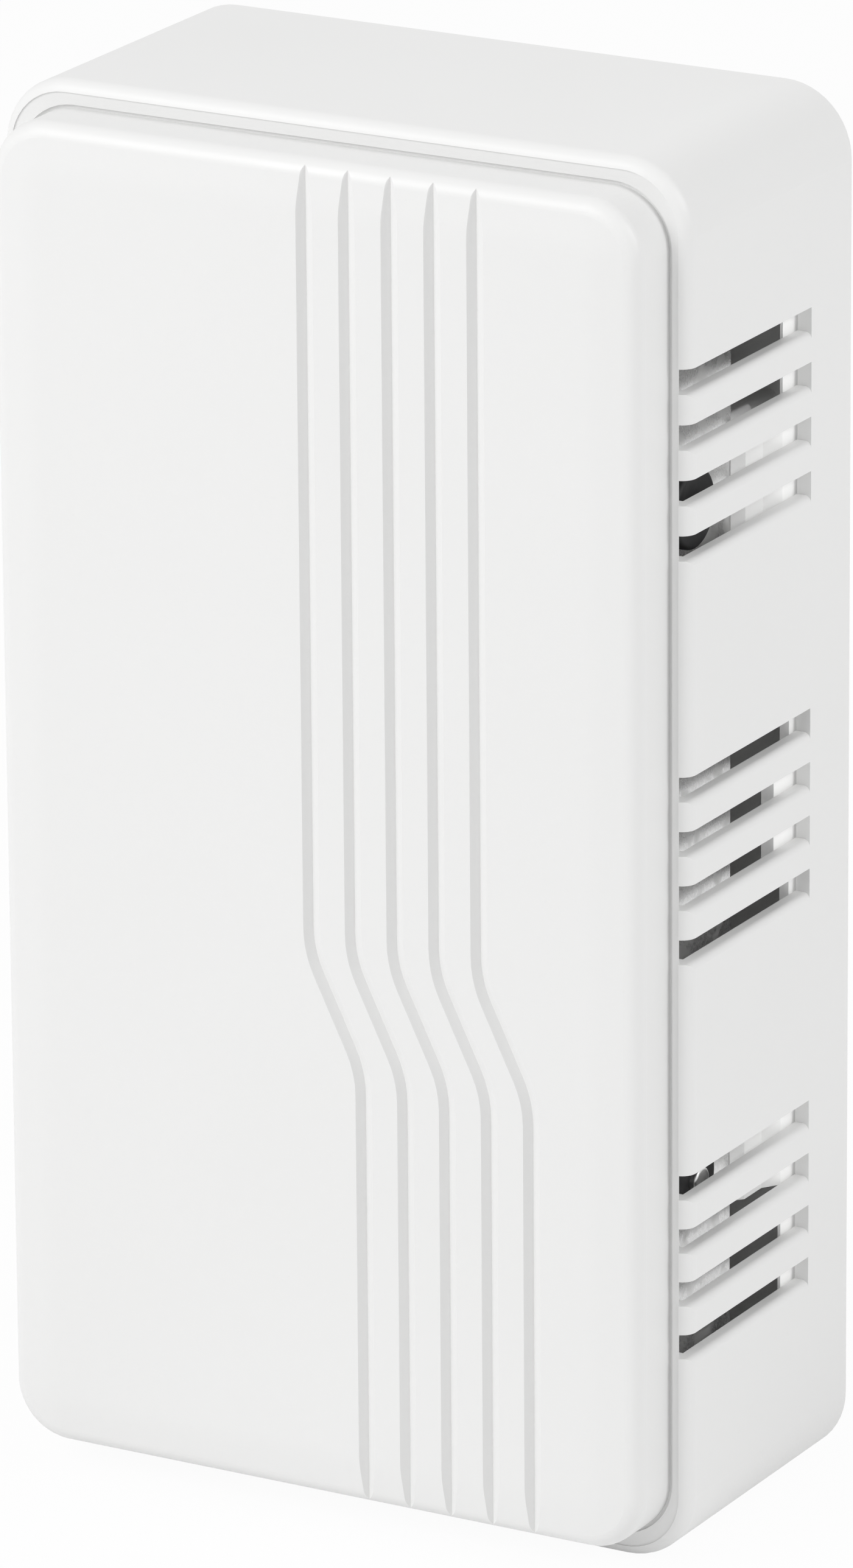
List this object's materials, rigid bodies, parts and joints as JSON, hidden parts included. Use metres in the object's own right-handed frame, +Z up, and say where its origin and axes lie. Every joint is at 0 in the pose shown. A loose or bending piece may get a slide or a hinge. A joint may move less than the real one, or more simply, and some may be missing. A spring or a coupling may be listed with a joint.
{
  "type": "doorbell chime box",
  "caption": "Wall-mounted wired door chime: louvred push-on cover over a tray with a two-way solenoid striker, a tone bar on each side and bell-wire terminals.",
  "frame": {"origin": "middle of the tray's back face, on the wall", "axes": "+X to the right as seen from the front, +Y into the wall, +Z up; the front faces -Y"},
  "size_m": [0.1, 0.0526, 0.1874],
  "materials": {
    "cover_plastic": "satin white moulded plastic",
    "tray_plastic": "white moulded plastic, dull",
    "bar_steel": "zinc-plated strip, dull grey",
    "bush_rubber": "black soft rubber",
    "pin_steel": "bright steel",
    "yoke_steel": "zinc-plated sheet",
    "bobbin_plastic": "natural nylon",
    "winding_wire": "enamelled copper wire",
    "coil_wrap": "amber tape",
    "core_steel": "ground soft-iron rod",
    "tip_nylon": "white nylon",
    "spring_steel": "bright spring wire",
    "screw_steel": "zinc-plated",
    "block_plastic": "black moulded plastic",
    "pillar_brass": "plain brass",
    "lead_sleeve": "grey sleeved wire"
  },
  "bodies": {
    "chime_base": {"base_tray": "tray_plastic", "tone_bar_right": "bar_steel", "tone_bar_left": "bar_steel", "bar_bushes_right": "bush_rubber", "bar_bushes_left": "bush_rubber", "bar_pins": "pin_steel", "solenoid_yoke": "yoke_steel", "yoke_keeper": "yoke_steel", "yoke_screws": "screw_steel", "coil_bobbin": "bobbin_plastic", "coil_winding": "winding_wire", "coil_tape": "coil_wrap", "return_spring_right": "spring_steel", "return_spring_left": "spring_steel", "terminal_block": "block_plastic", "terminal_block_screw": "screw_steel", "terminal_pillars": "pillar_brass", "coil_lead_right": "lead_sleeve", "coil_lead_left": "lead_sleeve"},
    "cover": {"front_cover": "cover_plastic"},
    "plunger": {"plunger_core": "core_steel", "striker_tip_right": "tip_nylon", "striker_tip_left": "tip_nylon"},
    "terminal_screw_right_body": {"terminal_screw_right": "screw_steel"},
    "terminal_screw_left_body": {"terminal_screw_left": "screw_steel"}
  },
  "joints": [
    {"name": "cover_slide", "type": "slide", "parent": "chime_base", "child": "cover", "axis": [0, -1, 0], "range_m": [0, 0.07]},
    {"name": "plunger_slide", "type": "slide", "parent": "chime_base", "child": "plunger", "axis": [1, 0, 0], "range_m": [-0.00495, 0.00495], "stiffness_N_per_m": 100, "deforming": ["return_spring_right", "return_spring_left"]},
    {"name": "terminal_screw_right_turn", "type": "hinge", "parent": "chime_base", "child": "terminal_screw_right_body", "pos_m": [0.007, -0.016, -0.04], "axis": [0, -1, 0], "range_deg": [-1080, 0]},
    {"name": "terminal_screw_left_turn", "type": "hinge", "parent": "chime_base", "child": "terminal_screw_left_body", "pos_m": [-0.007, -0.016, -0.04], "axis": [0, -1, 0], "range_deg": [-1080, 0]}
  ]
}
